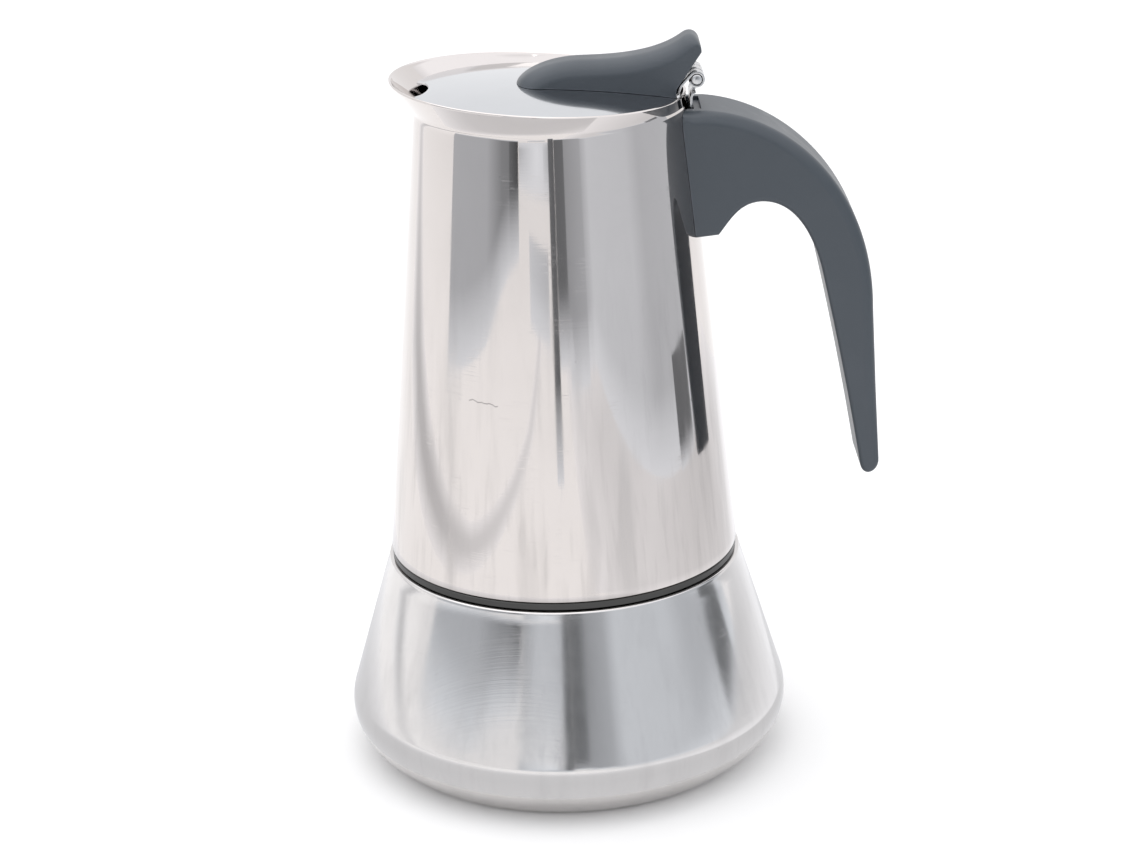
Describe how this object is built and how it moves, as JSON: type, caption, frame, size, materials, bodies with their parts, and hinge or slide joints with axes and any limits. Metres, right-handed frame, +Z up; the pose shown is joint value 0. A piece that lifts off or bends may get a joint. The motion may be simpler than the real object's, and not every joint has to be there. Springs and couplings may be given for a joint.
{
  "type": "stovetop moka pot",
  "caption": "Screw-together stovetop coffee maker: flared boiler, tapered polished collector, hinged domed lid with a thumb lever, hooked dark handle.",
  "frame": {"origin": "on the pot's axis, at the centre of the flat base that it stands on", "axes": "+Z up the pot's axis; +X towards the handle and the lid's hinge; -X towards the pouring lip; the safety valve is on +Y"},
  "size_m": [0.1452, 0.1236, 0.1976],
  "materials": {
    "polished_steel": "mirror polished",
    "satin_steel": "fine satin",
    "collar_steel": "dark turned",
    "brass": "turned",
    "handle_plastic": "satin moulded",
    "gasket_silicone": "matte"
  },
  "bodies": {
    "boiler": {"boiler": "satin_steel", "valve_body": "brass", "valve_washer": "gasket_silicone", "valve_nut": "brass", "valve_clip": "satin_steel"},
    "plunger": {"valve_plunger": "satin_steel", "valve_spring": "satin_steel"},
    "funnel": {"funnel": "satin_steel", "funnel_screen": "satin_steel"},
    "seal": {"gasket": "gasket_silicone", "filter_plate": "satin_steel"},
    "collector": {"thread_ring": "collar_steel", "collector": "polished_steel", "collector_floor": "satin_steel", "chimney": "satin_steel", "chimney_cap": "satin_steel", "hinge_strap": "satin_steel", "hinge_pin": "satin_steel", "handle": "handle_plastic", "handle_screw": "satin_steel"},
    "lid": {"lid": "polished_steel", "lid_lever": "handle_plastic", "lever_screw_1": "satin_steel", "lever_screw_2": "satin_steel", "hinge_leaf": "satin_steel", "hinge_rivet_1": "satin_steel", "hinge_rivet_2": "satin_steel"}
  },
  "joints": [
    {"name": "valve_lift", "type": "slide", "parent": "boiler", "child": "plunger", "axis": [0, 0.9573, 0.289], "range_m": [0, 0.0015], "stiffness_N_per_m": 400},
    {"name": "funnel_lift", "type": "slide", "parent": "boiler", "child": "funnel", "axis": [0, 0, 1], "range_m": [0, 0.09]},
    {"name": "collector_lift", "type": "slide", "parent": "funnel", "child": "seal", "axis": [0, 0, 1], "range_m": [0, 0.06]},
    {"name": "collector_turn", "type": "hinge", "parent": "seal", "child": "collector", "pos_m": [0, 0, 0.07], "axis": [0, 0, 1], "range_deg": [0, 810]},
    {"name": "lid_hinge", "type": "hinge", "parent": "collector", "child": "lid", "pos_m": [0.0379, 0, 0.1864], "axis": [0, 1, 0], "range_deg": [0, 110]}
  ]
}
